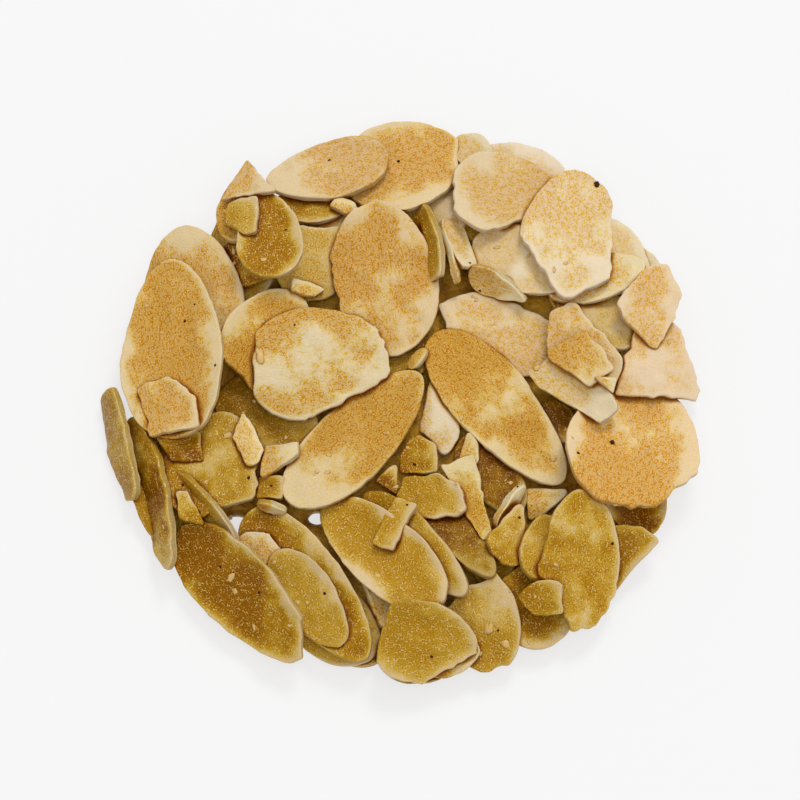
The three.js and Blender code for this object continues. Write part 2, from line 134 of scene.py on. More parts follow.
# The slices that show, from the lowest to the topmost
SLICES = (
    Slice("south_floor", (-7.5, -28.6), (11.5, 9.2), -35, "olive", 1.3),
    Slice("south_floor_dark", (2.5, -31.6), (11, 8), 5, "deep", 3),
    Slice("south_east_floor", (17.2, -25.8), (11, 8), 25, "deep", 3),
    Slice("east_floor", (25, -18.4), (11, 7), 60, "deep", 3),
    Slice("south_west_floor", (-27.5, -12.5), (17, 10.5), -68, "olive", 1.6),
    Slice("south_east_low", (29, -13), (9, 8), -70, "olive", 2.6),
    Slice("south_east_lobe", (28.2, -18.6), (12, 9), 55, "olive", 1.9,
          breaks=((-42, 2.3), (53, 3.3), (93, 2.7))),
    Slice("east_back_low", (29.8, 17.8), (9.5, 6.5), -45, "yellow", 0.3),
    Slice("east_back", (27.6, 19.3), (12, 7), -62, "yellow", 0.1),
    Slice("east_gap_low", (25.6, 10.8), (12.5, 8), -25, "amber", 1.1),
    Slice("north_east_under", (24.6, 16.2), (13, 6.5), 12, "yellow", 0.7),
    Slice("north_east_back", (14.8, 30), (13.6, 11), -2, "cream", 0.1),
    Slice("north_strip", (9.3, 33.5), (6.5, 5), -60, "yellow", 0.3),
    Slice("north_gap_left", (-11.5, 25.9), (9, 5), -3, "olive", 1.8),
    Slice("north_gap_chip", (-7.4, 25.9), (4, 3.4), -40, "yellow", 0.9,
          breaks=((60, 1), (-120, 1), (150, 1.3))),
    Slice("north_gap_low", (-11.2, 19.6), (12, 9), 80, "amber", 1, breaks=((90, 3.6),)),
    Slice("north_west_deep", (-18.3, 19), (10, 7), 20, "amber", 2.8),
    Slice("north_west_rim", (-20.5, 25.2), (9.5, 5), 85, "golden", 1.4),
    Slice("west_middle_low", (-16.5, -1.5), (14, 10), -30, "deep", 1.7),
    Slice("west_low", (-23.5, -8.4), (14.5, 13), 70, "olive", 1.8, breaks=((-5, 5.8), (-65, 6))),
    Slice("west_patch_low", (-27.3, -6.2), (9, 7), 5, "olive", 3,
          breaks=((97, 1.6), (9, 2.6), (-90, 2.1), (-149, 2.2))),
    Slice("centre_low", (11.5, -9.2), (12, 7), -55, "deep", 2.4),
    Slice("centre_leaf", (8.7, -6.1), (5, 3.4), 70, "yellow", 1, breaks=((164, 1), (43, 1.5), (-6, 1.2))),
    Slice("centre_gap_low", (0.5, 6), (8, 6), 20, "deep", 1.2),
    Slice("east_hole_low", (19.5, -2.4), (6, 5), -60, "deep", 2.8),
    Slice("south_gap_pale", (-2.7, -26.2), (9, 4), -55, "cream", 1,
          breaks=((77, 2.5), (-54, 2.7), (37, 1.3), (-157, 1))),
    Slice("south_gap_low", (11.8, -20.8), (6, 5), 30, "deep", 1.5),
    Slice("south_east_cup", (17, -25.4), (12, 10), 60, "olive", 2.2, bends=(0.3, 0.5)),
    Slice("south_fan", (9.8, -28.1), (14, 10), -65, "amber", 1.4,
          breaks=((133, 4), (113, 4.4), (-34, 6.1), (-75, 6.2))),
    Slice("south_front_under", (6.3, -32.6), (7.5, 4.5), 15, "yellow", 1.4),
    Slice("south_brown", (7.6, -18.3), (12.5, 5), -52, "deep", 2.4),
    Slice("south_right_long", (2, -18.5), (18.5, 5.8), -48, "olive", 1.7),
    Slice("south_long", (-11.5, -23.5), (24, 9.5), -52, "olive", 2, bends=(0.1, 0.6)),
    Slice("south_middle", (-1.9, -19.8), (20.6, 9), -45, "amber", 1.38, taper=-0.1,
          breaks=((70, 6.2),), bends=(0.1, 0.9), pale_towards=10),
    Slice("south_chip_pale", (-17.2, -18.8), (8.4, 5.8), -28, "cream", 0.9,
          breaks=((133, 2.8), (86, 2), (36, 1.8), (-58, 2.4), (-134, 1.7))),
    Slice("south_left_small", (-11.2, -25.6), (14.5, 7), -54, "olive", 1.3,
          pale_towards=40, bends=(-0.2, 0.5)),
    Slice("south_front", (3, -31), (13.5, 9.4), -8, "olive", 1.5, pale_towards=-20,
          breaks=((-64, 4), (0, 6.7), (163, 5.3)), leans=(-88, 24, 4.2), bends=(0.2, 0.6)),
    Slice("north_west_outer", (-26.2, 14.3), (18.6, 12.6), 97, "golden", 0.9),
    Slice("middle_brown", (-16.8, 8), (14.5, 11), 61, "golden", 1.3, breaks=((225, 6),)),
    Slice("north_west_fold", (-16.4, 21), (12.4, 8), 95, "amber", 1.9, taper=0.3, bends=(0.2, 0.8)),
    Slice("north_west_tip", (-19.1, 28.1), (9.5, 8), 75, "golden", 0.6,
          breaks=((151, 1.9), (38, 2.1), (-85, 1.8))),
    Slice("north_west_block", (-19.8, 23.6), (8, 7), 90, "amber", 1.4,
          breaks=((100, 2.1), (-2, 2), (-75, 3.1), (-128, 2.2), (180, 2))),
    Slice("north_top", (0.7, 31.5), (16, 13), 20, "golden", 0.9, breaks=((5, 7),), pale_towards=-30),
    Slice("north_left", (-9.2, 30.8), (15.7, 8.6), 14, "golden", 0.6, pale_towards=200, taper=-0.22),
    Slice("north_middle", (-2.3, 16.1), (20, 14.4), 97, "peach", 1,
          breaks=((108, 9.6), (-167, 5.9), (180, 7.2))),
    Slice("west_large", (-28.2, 6.6), (24.2, 12.6), 92, "golden", 1.1, pale_towards=10, taper=0.22),
    Slice("west_patch", (-28.4, -1.6), (12, 11), 100, "golden", 0.9,
          breaks=((109, 3.9), (49, 3), (7, 3.3), (-85, 3.4), (-165, 3.3))),
    Slice("centre_white", (4.9, -1.5), (13, 6.5), -75, "cream", 0.5,
          breaks=((-139, 3.2), (-117, 4.1), (-62, 4.6), (-15, 3.1), (168, 2))),
    Slice("centre_dark_chip", (-1.3, -10), (5, 4), -50, "olive", 2.6,
          breaks=((132, 1.3), (0, 1), (-126, 1.1))),
    Slice("centre_brown_chip", (2.6, -6.7), (7, 7), 20, "amber", 2.2,
          breaks=((148, 2.1), (125, 2.2), (55, 2.1), (2, 2.2), (180, 2.4), (-90, 2.4))),
    Slice("centre_strip", (8.9, -12.6), (14, 9), -76, "yellow", 1.35,
          breaks=((109, 5.1), (12, 1.6), (-68, 5.7), (-153, 1.5))),
    Slice("south_pale_top", (4.4, -12.4), (11, 7.5), -25, "amber", 1.4,
          breaks=((90, 2.7), (61, 2.7), (16, 3.5), (-58, 3.8), (-91, 2.8), (-132, 3), (161, 4.4))),
    Slice("south_stick", (-0.6, -16.4), (10, 6), 62, "amber", 1.4,
          breaks=((62, 3.2), (-28, 1.5), (152, 1.4), (-110, 3.2))),
    Slice("leaf_edge", (13.1, -13.7), (7, 1.2), 62, "yellow", 0.8, leans=(330, 60, 4.2)),
    Slice("leaf_wide", (13.3, -18.1), (10, 7), 65, "amber", 1.6,
          breaks=((141, 2.1), (-1, 1.9), (-52, 3.2), (-104, 3.5), (-138, 2.9))),
    Slice("leaf_twist", (17.6, -12.3), (7, 5.5), 20, "yellow", 1,
          breaks=((90, 1.3), (-52, 1.7), (-73, 2.1), (-170, 2.1))),
    Slice("south_east_inner", (17.5, -19), (9, 5.5), 75, "amber", 1.3),
    Slice("south_east_main", (21.9, -20.9), (18, 10.5), 82, "amber", 1.68,
          breaks=((164, 4.6), (-150, 4.9), (-83, 8.1), (-26, 5.5))),
    Slice("south_east_tab", (17.5, -25.4), (8, 6), -5, "olive", 1.8,
          breaks=((126, 1.9), (83, 1.8), (3, 2.6), (-88, 2.3), (-135, 2.2))),
    Slice("north_east_yellow", (15.5, 18.5), (13.5, 9), -25, "yellow", 0),
    Slice("north_east_oval", (13.5, 27.1), (15.2, 11.6), -5, "golden", 0.4,
          breaks=((-72, 4.1), (180, 6.8)), pale_towards=210),
    Slice("north_sliver_wide", (4.2, 20.3), (13, 2.4), -77, "amber", 1.8,
          breaks=((130, 4.3), (-77, 4.8)), leans=(193, 58, 5.4)),
    Slice("north_sliver_thin", (5.6, 19), (8.7, 0.5), -76, "yellow", 0.6, leans=(14, 75, 5.4)),
    Slice("north_sliver_right", (7, 20.5), (9.5, 3), -68, "yellow", 0.5,
          breaks=((98, 3.4), (-75, 3.6)), leans=(20, 32, 4.6)),
    Slice("north_east_slope", (12.6, 15.7), (8.4, 2), -27, "yellow", 0.8, taper=0.6, leans=(243, 55, 4.6)),
    Slice("north_east_pale", (21.6, 21.4), (19, 13), 85, "cream", 0.45, pale_towards=-85,
          breaks=((-146, 5.9), (-66, 7.8), (-3, 5.1))),
    Slice("south_east_large", (28.9, -5.6), (18.5, 16.4), 80, "peach", 0.95, pale_towards=90,
          breaks=((-135, 9.5), (-94, 8.8), (-44, 8.2))),
    Slice("east_pale", (31.8, 4.6), (14, 11.5), 90, "peach", 0.2,
          breaks=((164, 3.8), (-90, 3.9), (16, 4.7))),
    Slice("east_peach", (31.3, 12.6), (13, 9), -95, "peach", 0.45,
          breaks=((141, 3.3), (83, 5.4), (18, 3.8), (-14, 3.5), (-32, 3.8), (-127, 4.4), (-142, 4.1))),
    Slice("centre_north_east", (12.6, 9.6), (18, 11.5), -25, "golden", 0.4,
          breaks=((114, 6.3), (64, 4.1), (-165, 6.7))),
    Slice("centre_east", (22.6, 7.3), (14, 10), -55, "golden", 0.6,
          breaks=((112, 5.2), (38, 3), (180, 3.9))),
    Slice("centre_east_pale", (21.6, 0.7), (13.5, 7.5), -38, "yellow", 0.3,
          breaks=((130, 5.5), (-159, 3.9), (-125, 1.6), (-51, 5.8))),
    Slice("centre_east_top", (22.8, 4.1), (12, 8), -54, "golden", 1,
          breaks=((116, 3.8), (32, 2.9), (-54, 3.4), (-130, 1.9), (-159, 3.3))),
    Slice("centre_left_diagonal", (-5.6, -5), (23.6, 9.8), 46, "golden", 1.2, pale_towards=215),
    Slice("middle_pale", (-10.2, 4.8), (18.4, 14.6), 12, "cream", 1, pale_towards=-60,
          breaks=((178, 8), (12, 8.5), (67, 7.5), (-58, 5.8))),
    Slice("centre_diagonal", (12.1, -0.7), (24.8, 9.9), -50, "golden", 1.28,
          pale_towards=-60, bends=(-0.3, 0.3)),
    Slice("east_chip", (25.7, 1.2), (5, 4), 0, "yellow", 0.8,
          breaks=((92, 0.75), (-13, 0.95), (-129, 0.6))),
    Slice("centre_tab", (2.5, 5.4), (3.5, 1.6), 50, "yellow", 1.5),
    Slice("west_chip_standing", (-19.2, -5.1), (9, 6), -65, "yellow", 0.8,
          breaks=((162, 1.7), (29, 1.4), (-15, 2.4), (-79, 3.6), (-153, 1.6))),
    Slice("west_chip_low", (-15.9, -11.3), (6, 5), 0, "olive", 1.7,
          breaks=((90, 1.4), (-2, 1.7), (-95, 1.6), (170, 1.6))),
    Slice("west_chip", (-14.8, -7.4), (8, 6), 25, "yellow", 0.8,
          breaks=((95, 1.4), (3, 2.5), (-57, 1.5), (176, 2.2))),
    Slice("west_strip", (-15.8, -13.3), (4.2, 0.6), -15, "yellow", 1.2, leans=(255, 70, 4.3)),
    Slice("north_chip", (-12, 14.6), (6, 4), -15, "yellow", 1,
          breaks=((86, 1.1), (68, 1), (-48, 1.5), (-103, 0.9), (180, 2))),
    Slice("west_sliver_outer", (-34.6, -5), (18, 2.4), -76, "olive", 1.8,
          breaks=((-88, 7.2), (104, 7.3)), leans=(194, 64, 2.5)),
    Slice("west_sliver", (-30.3, -11.6), (20.6, 3.4), -76, "olive", 2.6, leans=(194, 56, 3.2)),
    Slice("south_west_edge", (-23.8, -13.5), (12.4, 1.7), -50, "amber", 1.5, leans=(220, 56, 4.4)),
    Slice("south_west_dark", (-19.1, -24.6), (23.5, 8.4), -46, "olive", 2.25,
          breaks=((-1, 7.5), (-68, 10.4)), leans=(224, 31, 3.5), bends=(0.2, 0.6)),
    Slice("south_west_chip", (-26.2, -14.2), (7, 4), -65, "olive", 1.7,
          breaks=((99, 2.2), (26, 0.8), (-107, 1.9), (-171, 1.3))),
)


def direction(degrees):
    turn = math.radians(degrees)
    return np.array([math.cos(turn), math.sin(turn)])


def between(limits, share):
    low, high = limits
    return low + (high - low) * share


def seeded_random(seed):
    """Numbers from 0 to 1, the same in every run."""
    state = seed
    while True:
        state = state * RANDOM_FACTOR % RANDOM_MODULUS
        yield state % RANDOM_STEPS / RANDOM_STEPS


def rim_slices():
    """Rings of slices low at the rim, turned this way and that."""
    random = seeded_random(SEED)
    slices = []
    for count, radius, last_bearing, lies_flat in RIM_RINGS:
        for i in range(count):
            bearing = (i + RIM_SPACING * next(random)) * last_bearing / count
            size = (between(RIM_LENGTHS, next(random)), between(RIM_WIDTHS, next(random)))
            heading = bearing + 90 + RIM_SWING * (2 * next(random) - 1)
            centre = tuple(radius * direction(bearing))
            slices.append(Slice("rim", centre, size, heading, RIM_LOOK, RIM_TOAST, lies_flat=lies_flat))
    return slices


def tapered_oval(row, sides):
    """Points round a slice's unbroken outline about its centre, seen from above."""
    t = 2 * math.pi * np.arange(sides) / sides
    along = row.size[0] / 2 * np.cos(t)
    across = row.size[1] / 2 * np.sin(t) * (1 - row.taper * np.cos(t))
    ahead = direction(row.heading)
    aside = direction(row.heading + 90)
    return along[:, None] * ahead + across[:, None] * aside


def broken_outline(row, sides):
    """A slice's outline about its centre, cut off at its broken edges."""
    corners = tapered_oval(row, sides)
    for facing, reach in row.breaks:
        inside = reach - corners @ direction(facing)
        kept = []
        for i, corner in enumerate(corners):
            j = (i + 1) % len(corners)
            if inside[i] >= 0:
                kept.append(corner)
            if inside[i] * inside[j] < 0:
                kept.append(corner + (corners[j] - corner) * inside[i] / (inside[i] - inside[j]))
        corners = np.array(kept)
    return corners


def plan_outline(row):
    """A slice's outline with few sides, for finding where the slice comes to rest."""
    return broken_outline(row, SIDES_OF_SHORT_SLICE if row.size[0] < LONG_SLICE else SIDES_OF_LONG_SLICE)


@dataclass
class Laid:
    """A slice where it came to rest: the plane of its underside."""

    row: Slice
    corners: np.ndarray
    slope: np.ndarray
    height: float

    def axes(self):
        """The directions along the slice, across it and out of its face."""
        ahead = direction(self.row.heading)
        along = np.array([*ahead, self.slope @ ahead])
        along /= np.linalg.norm(along)
        normal = np.array([*-self.slope, 1])
        normal /= np.linalg.norm(normal)
        return along, np.cross(normal, along), normal

    def centre(self):
        return np.array([*self.row.centre, self.height])


class Heap:
    """The top of the heap so far, on a square grid of cells."""

    def __init__(self):
        side = round(2 * FIELD_REACH / FIELD_CELL)
        centres = (np.arange(side) + 0.5) * FIELD_CELL - FIELD_REACH
        self.x, self.y = np.meshgrid(centres, centres)
        self.top = np.interp(np.hypot(self.x, self.y), CORE_RADII, CORE_HEIGHTS, right=0)

    def cells_under(self, corners, centre):
        """Which cells lie under an outline, and their offsets from its centre."""
        x, y = self.x - centre[0], self.y - centre[1]
        under = np.full(x.shape, True)
        for corner, following in zip(corners, np.roll(corners, -1, axis=0)):
            edge = following - corner
            under &= edge[0] * (y - corner[1]) - edge[1] * (x - corner[0]) >= 0
        return under, np.stack([x[under], y[under]], axis=1)

    def lay(self, row):
        """Lays a slice on the heap, which it becomes part of."""
        corners = plan_outline(row)
        under, offsets = self.cells_under(corners, row.centre)
        slope = np.zeros(2)
        height = 0.0
        if row.leans:
            faces, steepness, height = row.leans
            slope = -math.tan(math.radians(steepness)) * direction(faces)
        elif not row.lies_flat:
            slope = rest_slope(offsets, self.top[under])
            on_heap = (self.top[under] - offsets @ slope).max() - SINK
            on_floor = (-corners @ slope).max()
            height = max(on_heap, on_floor)
        upright = THICKNESS * math.hypot(1, *slope)
        self.top[under] = np.maximum(self.top[under], height + offsets @ slope + upright)
        return Laid(row, corners, slope, height)


def rest_slope(offsets, tops):
    """The slope at which a slice laid on the heap has its centre lowest, found step by step."""
    slope = np.zeros(2)
    height = tops.max()
    step = FIRST_SLOPE_STEP
    while step > LAST_SLOPE_STEP:
        better = False
        for degrees in SLOPE_BEARINGS:
            trial = slope + step * direction(degrees)
            steepness = math.hypot(*trial)
            if steepness > STEEPEST_REST:
                trial *= STEEPEST_REST / steepness
            trial_height = (tops - offsets @ trial).max()
            if trial_height < height - LEAST_DROP:
                slope = trial
                height = trial_height
                better = True
        if not better:
            step /= 2
    return slope


NOISE_SIDE = 64  # of the square of random values that smooth noise repeats


def eased(share):
    """A share from 0 to 1 that starts and ends slowly."""
    return share * share * (3 - 2 * share)


def smooth_noise(x, y, rng):
    """Values from -1 to 1 that change smoothly over about one unit of x and y."""
    values = rng.uniform(-1, 1, (NOISE_SIDE, NOISE_SIDE))
    column = np.floor(x).astype(int)
    row = np.floor(y).astype(int)
    across = eased(x - column)
    up = eased(y - row)

    def corner(right, above):
        return values[(row + above) % NOISE_SIDE, (column + right) % NOISE_SIDE]

    low = corner(0, 0) + (corner(1, 0) - corner(0, 0)) * across
    high = corner(0, 1) + (corner(1, 1) - corner(0, 1)) * across
    return low + (high - low) * up


def smoothed(values, axis):
    """Values evened out along an axis that closes on itself."""
    return (np.roll(values, 1, axis) + 2 * values + np.roll(values, -1, axis)) / 4


# The fine outline of a slice
FINE_SIDES = 180  # of a whole slice before it is broken and divided anew
SIDE_LENGTH = 0.36
FEWEST_SIDES = 32
MOST_SIDES = 150
RIM_WOBBLE = 0.02  # share of a slice's reach
WOBBLE_WAVES = range(2, 9)  # round the outline
LAST_PHASE = 7  # of a wave: a little over a full turn
RIM_JAG = 0.07
BREAK_JAG = 0.26
JAGS = ((1, 1.6), (0.7, 0.8))  # the coarse and the fine ones: their share and their length
LONGEST_BREAK = 15  # a slice of this length breaks as raggedly as any
LEAST_RAGGEDNESS = 0.35  # of the shortest slices
BREAK_WIDTH = 0.05  # points this near to a broken edge are on it

# The rings of a slice's mesh
UNDERSIDE = 0.2  # how far the underside is above that of the thicker slice that comes to rest
RIM_ROUNDING = 0.2
ROUNDING_TURNS = np.radians((30, 60, 90))
LEAST_FACE = 0.25  # share of its reach that the face of a narrow slice keeps inside the rounding
TOP_RINGS = (0.12, 0.24, 0.35, 0.45, 0.54, 0.63, 0.71, 0.79, 0.86, 0.92, 0.97, 1)
BOTTOM_RINGS = (1, 0.8, 0.5, 0.25)

# The faces of a slice
ARCHES = (-0.08, 0.07)  # how far the ends curl up, as a share of half the length
BOWS = (-0.12, 0.16)  # how far the sides curl up, as a share of half the width
LEAST_HALF_WIDTH = 2  # a narrower slice is bent like the middle of one of this half width
MIDDLE_SHARE = 0.3  # share of a bend by which the middle lies below the plane of the slice
FACE_WAVES = ((0.28, 4.5), (0.18, 1.8))  # height and length
FACE_LUMP_HEIGHT = 0.08
FACE_LUMP_LENGTH = 0.9
LOWEST = 0.02  # what lies on the floor is this much above it

# What the almond material reads
HOLLOW_DEPTH = 0.5  # a hollow of this depth counts as 1
PALE_BEARINGS = (-40, 80)  # of the paler side, where a row doesn't say it
SHADES = (0.95, 1.05)  # of the flesh from slice to slice
GRAIN_STRETCH = 0.9  # along the slice
GRAIN_REACH = 50  # patterns start at random places up to this far from the origin
UNDERSIDE_GRAIN = 9.0  # the level in the pattern that undersides show

# Seeds of what is drawn at random, and of the first slice of each kind
RIM_SEED = 300
BOTTOM_SEED = 500
BATTER_SEED = 1000
UNDER_SEED = 2000
CRUMB_SEED = 3000
SPECK_SEED = 4000
FINE_CRUMB_SEED = 5000


@dataclass
class Part:
    """A closed mesh, with values for each of its points."""

    points: np.ndarray
    faces: list
    values: dict


def fine_outline(row, rng):
    """Points at equal steps round a slice's outline about its centre, slightly uneven."""
    corners = broken_outline(row, FINE_SIDES)
    closed = np.concatenate([corners, corners[:1]])
    travelled = np.concatenate([[0], np.cumsum(np.linalg.norm(np.diff(closed, axis=0), axis=1))])
    sides = int(np.clip(travelled[-1] / SIDE_LENGTH, FEWEST_SIDES, MOST_SIDES))
    steps = travelled[-1] * np.arange(sides) / sides
    points = np.column_stack([np.interp(steps, travelled, closed[:, axis]) for axis in (0, 1)])
    t = 2 * math.pi * np.arange(sides) / sides
    wobble = sum(
        rng.normal() / waves * np.cos(waves * t + rng.uniform(0, LAST_PHASE)) for waves in WOBBLE_WAVES
    )
    jag = sum(share * smooth_noise(steps / length, steps * 0, rng) for share, length in JAGS)
    on_break = np.zeros(sides)
    for facing, distance in row.breaks:
        on_break[np.abs(points @ direction(facing) - distance) < BREAK_WIDTH] = 1
    points = smoothed(points, 0)
    reach = np.linalg.norm(points, axis=1)
    break_jag = BREAK_JAG * np.clip(row.size[0] / LONGEST_BREAK, LEAST_RAGGEDNESS, 1)
    jag *= RIM_JAG + (break_jag - RIM_JAG) * on_break
    return points * (1 + RIM_WOBBLE * wobble + jag / reach)[:, None]


def slice_rings(outline):
    """The rings of a slice from the middle of its face over the rim to the middle of its
    underside, each as its points in the slice's plane, its height and whether it is on top.
    """
    reach = np.linalg.norm(outline, axis=1)[:, None]
    inner = outline * np.maximum(1 - RIM_ROUNDING / reach, LEAST_FACE)
    rounding = []
    for turn in ROUNDING_TURNS:
        inset = RIM_ROUNDING * (1 - math.sin(turn))
        drop = RIM_ROUNDING * (1 - math.cos(turn))
        rounding.append((outline * (1 - inset / reach), drop))
    rings = [(inner * share, THICKNESS, True) for share in TOP_RINGS]
    rings += [(ring, THICKNESS - drop, True) for ring, drop in rounding]
    rings += [(ring, UNDERSIDE + drop, False) for ring, drop in reversed(rounding)]
    rings += [(inner * share, UNDERSIDE, False) for share in BOTTOM_RINGS]
    return rings


def face_relief(u, v, row, rng):
    """How far a slice's face stands out of its plane: slightly bent, with low waves."""
    half_length = row.size[0] / 2
    half_width = max(row.size[1] / 2, LEAST_HALF_WIDTH)
    arch = rng.uniform(*ARCHES) * half_length
    bow = rng.uniform(*BOWS) * half_width
    if row.bends:
        arch, bow = row.bends
    waves = sum(height * smooth_noise(u / length, v / length, rng) for height, length in FACE_WAVES)
    along = (u / half_length) ** 2 - MIDDLE_SHARE
    across = (v / half_width) ** 2 - MIDDLE_SHARE
    return arch * along + bow * across + waves


def slice_values(row, outline, flat, is_top, relief, offsets, rng):
    """What the almond material reads at each point of a slice."""
    to_rim = np.linalg.norm(flat[:, None] - outline[None], axis=2).min(axis=1)
    pale_bearing = rng.uniform(*PALE_BEARINGS) if row.pale_towards is None else row.pale_towards
    towards_pale = (offsets @ direction(pale_bearing)) / np.linalg.norm(outline, axis=1).mean()
    flesh, gloss = LOOKS[row.look]
    shade = rng.uniform(*SHADES)
    start = rng.uniform(0, GRAIN_REACH, 2)
    u, v = flat.T
    level = np.where(is_top, 0, UNDERSIDE_GRAIN)
    count = len(flat)
    return {
        "grain": np.column_stack([GRAIN_STRETCH * u + start[0], v + start[1], level]),
        "rim": to_rim,
        "hollow": (relief.mean() - relief) / HOLLOW_DEPTH,
        "pale_side": towards_pale,
        # the toast, which on low slices and those facing away from the light is also painted shade
        "toast_and_shade": np.full(count, row.toast_and_shade),
        "gloss": np.full(count, gloss),
        "flesh": np.tile(np.append(flesh * shade, 1), (count, 1)),
    }


def slice_part(laid, seed):
    """A slice with rounded rims and slightly uneven faces."""
    row = laid.row
    rng = np.random.default_rng([SEED, seed])
    along, across, normal = laid.axes()
    plan = fine_outline(row, rng)
    on_plane = np.column_stack([plan, plan @ laid.slope])
    outline = np.column_stack([on_plane @ along, on_plane @ across])
    rings = slice_rings(outline)
    sides = len(outline)
    middle = np.zeros((1, 2))
    flat = np.concatenate([middle, *(ring for ring, _, _ in rings), middle])
    lift = np.concatenate([[THICKNESS], *(np.full(sides, level) for _, level, _ in rings), [UNDERSIDE]])
    is_top = np.concatenate([[True], *(np.full(sides, top) for _, _, top in rings), [False]])
    u, v = flat.T
    relief = face_relief(u, v, row, rng)
    lumps = FACE_LUMP_HEIGHT * smooth_noise(u / FACE_LUMP_LENGTH, v / FACE_LUMP_LENGTH, rng)
    height = lift + relief + np.where(is_top, lumps, -lumps)
    points = laid.centre() + u[:, None] * along + v[:, None] * across + height[:, None] * normal
    points[:, 2] = np.maximum(points[:, 2], LOWEST)
    offsets = points[:, :2] - np.array(row.centre)
    values = slice_values(row, outline, flat, is_top, relief, offsets, rng)
    return Part(points, ring_faces(sides, len(rings)), values)


def ring_faces(sides, rings):
    """The faces of a closed mesh of rings between a first and a last point."""
    last = 1 + sides * rings
    faces = []
    for i in range(sides):
        j = (i + 1) % sides
        faces.append((0, 1 + i, 1 + j))
        faces.append((last, last - sides + j, last - sides + i))
        for ring in range(rings - 1):
            near = 1 + ring * sides
            far = near + sides
            faces.append((near + i, far + i, far + j, near + j))
    return faces


# Laying the slices
heap = Heap()
rim = [heap.lay(row) for row in rim_slices()]
bed_top = heap.top.copy()
shown = [heap.lay(row) for row in SLICES]


def recentring():
    """The way from the table's origin to that of the frame, under the middle of the cookie."""
    corners = []
    for laid in rim + shown:
        flat = laid.corners + laid.row.centre
        corners += [flat, flat + THICKNESS * laid.axes()[2][:2]]
    corners = np.concatenate(corners)
    return np.array([*-(corners.min(axis=0) + corners.max(axis=0)) / 2, 0])


TO_FRAME = recentring()

# The kind of attribute, and its field, by how many numbers a point has
ATTRIBUTE_KINDS = {1: ("FLOAT", "value"), 3: ("FLOAT_VECTOR", "vector"), 4: ("FLOAT_COLOR", "color")}


def joined(parts):
    """The points and faces of several parts as those of one mesh."""
    first = np.cumsum([0] + [len(part.points) for part in parts])
    points = np.concatenate([part.points for part in parts])
    faces = []
    for part, start in zip(parts, first):
        faces += [[corner + start for corner in face] for face in part.faces]
    return points, faces


def make_piece(name, parts, material, in_place_of_node=True):
    """One Blender object of several parts, which rides on the cookie."""
    points, faces = joined(parts)
    mesh = bpy.data.meshes.new(name)
    mesh.from_pydata(((points + TO_FRAME) * MM).tolist(), [], faces)
    for value_name in parts[0].values:
        values = np.concatenate([part.values[value_name] for part in parts])
        kind, field = ATTRIBUTE_KINDS[values.size // len(values)]
        mesh.attributes.new(value_name, kind, "POINT").data.foreach_set(field, values.ravel())
    mesh.shade_smooth()
    mesh.materials.append(material)
    piece = bpy.data.objects.new(name, mesh)
    bpy.context.collection.objects.link(piece)
    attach(piece, "root")
    if in_place_of_node:
        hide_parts(NODE)


class Paint:
    """A material that is being made. Its methods make shader nodes and give their outputs."""

    def __init__(self, name):
        self.material = bpy.data.materials.new(name)
        self.material.use_nodes = True
        self.tree = self.material.node_tree
        self.shader = self.tree.nodes["Principled BSDF"]

    def attach(self, socket, value):
        """Links a node's output to a socket, or sets a plain value on it."""
        if isinstance(value, bpy.types.NodeSocket):
            self.tree.links.new(value, socket)
        else:
            socket.default_value = value

    def set(self, name, value):
        """Sets an input of the shader itself."""
        self.attach(self.shader.inputs[name], value)

    def node(self, kind, output, inputs, **settings):
        node = self.tree.nodes.new("ShaderNode" + kind)
        for name, setting in settings.items():
            setattr(node, name, setting)
        for name, value in inputs.items():
            self.attach(node.inputs[name], value)
        return node.outputs[output]

    def attribute(self, name, output="Fac"):
        return self.node("Attribute", output, {}, attribute_name=name)

    def noise(self, place, scale, detail=2):
        """A pattern from 0 to 1 with so many swells to a unit of the place."""
        return self.node("TexNoise", "Fac", {"Vector": place, "Scale": scale, "Detail": detail})

    def calculate(self, operation, *values):
        return self.node("Math", "Value", dict(enumerate(values)), operation=operation)

    def product(self, first, *others):
        for other in others:
            first = self.calculate("MULTIPLY", first, other)
        return first

    def weighted_sum(self, start, *terms):
        """A start, and each term's value times its weight added to it."""
        for value, weight in terms:
            start = self.calculate("MULTIPLY_ADD", value, weight, start)
        return start

    def ramp(self, value, low, high, from_value=0.0, to_value=1.0, smooth=True):
        """A change from one value to another while value goes from low to high."""
        limits = {"From Min": low, "From Max": high, "To Min": from_value, "To Max": to_value}
        curve = "SMOOTHSTEP" if smooth else "LINEAR"
        return self.node("MapRange", "Result", {"Value": value, **limits}, interpolation_type=curve)

    def mix(self, share, first, second):
        """A colour between two others. Sockets share their names here, so they go by number."""
        return self.node("Mix", 2, {"Factor": share, 6: first, 7: second}, data_type="RGBA")

    def bump(self, layer, height, depth):
        """Fine relief of a depth in millimetres, on the surface or on the coat over it."""
        inputs = {"Strength": 1, "Distance": depth * MM, "Height": height}
        self.set(layer, self.node("Bump", "Normal", inputs))


WARM_SHINE = (1, 0.75, 0.3, 1)  # a glaze of oil and caramel reflects a warm light

# How much red, green and blue light each layer on a slice takes out, or a painted glint gives back. The
# joint layer is batter with painted shade
TAN_ABSORPTION = (0.2, 0.5, 0.85)
FILM_ABSORPTION = (0.225, 0.395, 1.8)
DOT_ABSORPTION = (0.07, 0.21, 1.5)
PAINTED_GLINT_ABSORPTION = (0.13, 0.25, 1.28)
JOINT_BATTER_AND_SHADE_ABSORPTION = (1, 2, 4)

# Patterns on a slice, in swells to the millimetre
PATCH_SCALE = 0.3
WAVE_SCALE = 1.0
CLUSTER_SCALE = 1.7
STIPPLE_SCALE = 4.3
PORE_SCALE = 5.2

